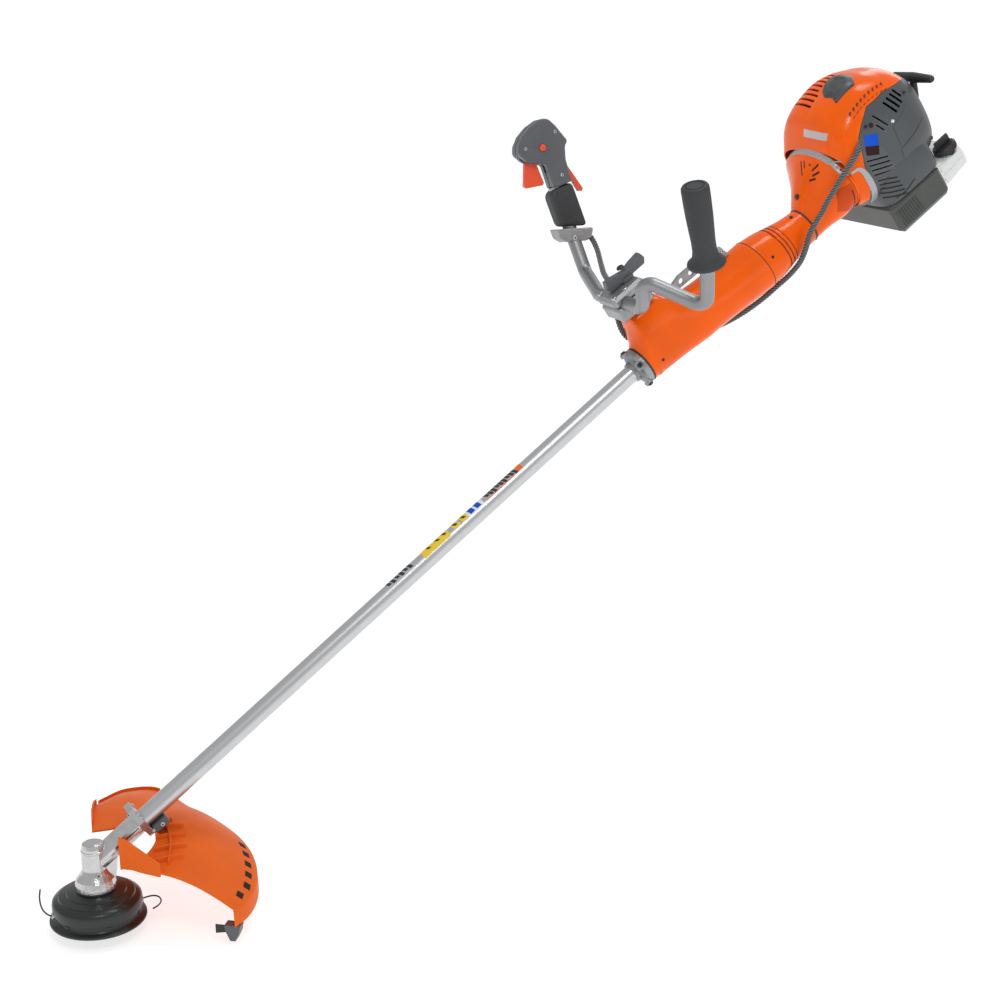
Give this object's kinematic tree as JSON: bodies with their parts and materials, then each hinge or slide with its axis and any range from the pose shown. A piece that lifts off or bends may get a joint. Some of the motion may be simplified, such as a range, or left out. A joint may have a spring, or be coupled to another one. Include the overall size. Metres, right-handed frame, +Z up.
{
  "type": "string trimmer",
  "caption": "Petrol string trimmer with a straight shaft, an angled gearbox and line head, a guard, a cycle handlebar with throttle handle, and a rear engine.",
  "frame": {"origin": "centre of the second hook hole in the harness rail, where the trimmer hangs", "axes": "+Z up along the cutting head's spin axis with the head level, +X along the ground from the head to the engine, +Y to the operator's right"},
  "size_m": [1.5751, 0.5148, 1.1857],
  "materials": {
    "aluminium": "satin",
    "cast_alloy": "cast, satin",
    "steel": "turned",
    "black_plastic": "satin",
    "dark_plastic": "fine grain",
    "orange_plastic": "gloss",
    "guard_plastic": "matt",
    "red_plastic": "satin",
    "grey_plastic": "satin",
    "white_plastic": "translucent, satin",
    "rubber": "moulded"
  },
  "bodies": {
    "frame": {"drive_tube": "aluminium", "shaft_bush_1": "black_plastic", "shaft_bush_2": "black_plastic", "gearbox_housing": "aluminium", "output_bearing": "steel", "guard": "guard_plastic", "guard_bracket": "steel", "cutter_holder": "dark_plastic", "line_cutter": "steel", "flange_collar": "cast_alloy", "collar_gasket": "rubber", "front_shroud": "orange_plastic", "rear_shroud": "orange_plastic", "harness_rail": "cast_alloy", "handlebar_bracket": "cast_alloy", "handlebar_clamp_cap": "cast_alloy", "clutch_cover": "orange_plastic", "trim_band": "grey_plastic", "top_cover": "orange_plastic", "plug_cover": "dark_plastic", "starter_housing": "grey_plastic", "crankcase": "cast_alloy", "cylinder": "aluminium", "piston": "aluminium", "spark_plug": "steel", "muffler": "steel", "carburettor": "aluminium", "fuel_tank": "white_plastic", "tank_guard": "dark_plastic", "throttle_cable_lower": "rubber"},
    "cutting_head": {"head_housing": "black_plastic", "head_cover": "black_plastic", "cutting_line_left": "black_plastic", "cutting_line_right": "black_plastic", "driven_gear": "steel", "output_shaft": "steel", "bump_spring": "steel"},
    "bump_knob_body": {"bump_knob": "black_plastic"},
    "spool_body": {"line_spool": "dark_plastic"},
    "drive_line": {"drive_shaft": "steel", "pinion_gear": "steel", "clutch_drum": "steel"},
    "crank": {"crankshaft": "steel", "flywheel": "cast_alloy"},
    "rope_handle": {"starter_handle": "black_plastic"},
    "rope_pulley": {"starter_pulley": "black_plastic"},
    "handlebar_body": {"handlebar": "aluminium", "left_grip": "rubber", "throttle_handle_inner": "dark_plastic", "throttle_handle_outer": "dark_plastic", "throttle_grip": "rubber", "handle_clamp": "cast_alloy", "throttle_cable_upper": "rubber"},
    "wing_knob": {"clamp_knob": "dark_plastic"},
    "trigger": {"throttle_trigger": "red_plastic"},
    "lockout": {"lockout_lever": "red_plastic"},
    "stop_switch": {"stop_button": "red_plastic"},
    "choke": {"choke_lever": "black_plastic"},
    "primer": {"primer_bulb": "rubber"},
    "cap": {"fuel_cap": "black_plastic"}
  },
  "joints": [
    {"name": "head_spin", "type": "hinge", "parent": "frame", "child": "cutting_head", "pos_m": [-1.00554, 0, -0.83161], "axis": [0, 0, 1], "continuous": true},
    {"name": "knob_press", "type": "slide", "parent": "cutting_head", "child": "bump_knob_body", "axis": [0, 0, 1], "range_m": [0, 0.006], "stiffness_N_per_m": 600, "deforming": ["bump_spring"]},
    {"name": "spool_spin", "type": "hinge", "parent": "bump_knob_body", "child": "spool_body", "pos_m": [-1.00554, 0, -0.85761], "axis": [0, 0, 1], "continuous": true},
    {"name": "shaft_spin", "type": "hinge", "parent": "frame", "child": "drive_line", "pos_m": [-0.43213, 0, -0.3801], "axis": [0.8192, 0, 0.5736], "continuous": true},
    {"name": "crank_spin", "type": "hinge", "parent": "frame", "child": "crank", "pos_m": [0.32558, 0, 0.15046], "axis": [0.8192, 0, 0.5736], "continuous": true},
    {"name": "starter_pull", "type": "slide", "parent": "frame", "child": "rope_handle", "axis": [-0.2205, 0, 0.9754], "range_m": [0, 0.6], "stiffness_N_per_m": 25},
    {"name": "pulley_spin", "type": "hinge", "parent": "frame", "child": "rope_pulley", "pos_m": [0.39193, 0, 0.19692], "axis": [0.8192, 0, 0.5736], "continuous": true},
    {"name": "handlebar_tilt", "type": "hinge", "parent": "frame", "child": "handlebar_body", "pos_m": [-0.12825, 0, -0.03303], "axis": [0, 1, 0], "range_deg": [-15, 25]},
    {"name": "wing_knob_turn", "type": "hinge", "parent": "frame", "child": "wing_knob", "pos_m": [-0.11867, 0, 0.00908], "axis": [-0.5736, 0, 0.8192], "continuous": true},
    {"name": "trigger_pull", "type": "hinge", "parent": "handlebar_body", "child": "trigger", "pos_m": [-0.15537, 0.23601, 0.1633], "axis": [-0.1088, -0.9818, 0.1554], "range_deg": [0, 12], "stiffness_Nm_per_rad": 0.6},
    {"name": "lockout_press", "type": "hinge", "parent": "handlebar_body", "child": "lockout", "pos_m": [-0.10339, 0.22826, 0.15079], "axis": [0.1088, 0.9818, -0.1554], "range_deg": [0, 8], "stiffness_Nm_per_rad": 0.4},
    {"name": "stop_press", "type": "slide", "parent": "handlebar_body", "child": "stop_switch", "axis": [0.1088, 0.9818, -0.1554], "range_m": [0, 0.0025], "stiffness_N_per_m": 300},
    {"name": "choke_swing", "type": "hinge", "parent": "frame", "child": "choke", "pos_m": [0.40553, 0.02, 0.23817], "axis": [0.8192, 0, 0.5736], "range_deg": [-60, 0]},
    {"name": "primer_press", "type": "slide", "parent": "frame", "child": "primer", "axis": [-0.8192, 0, -0.5736], "range_m": [0, 0.004], "stiffness_N_per_m": 300},
    {"name": "cap_turn", "type": "hinge", "parent": "frame", "child": "cap", "pos_m": [0.44437, -0.049, 0.17259], "axis": [-0.5736, 0, 0.8192], "continuous": true}
  ],
  "couplings": [
    {"joint": "shaft_spin", "follows": "head_spin", "ratio": -1.4},
    {"joint": "pulley_spin", "follows": "starter_pull", "rad_per_m": 41.667}
  ]
}
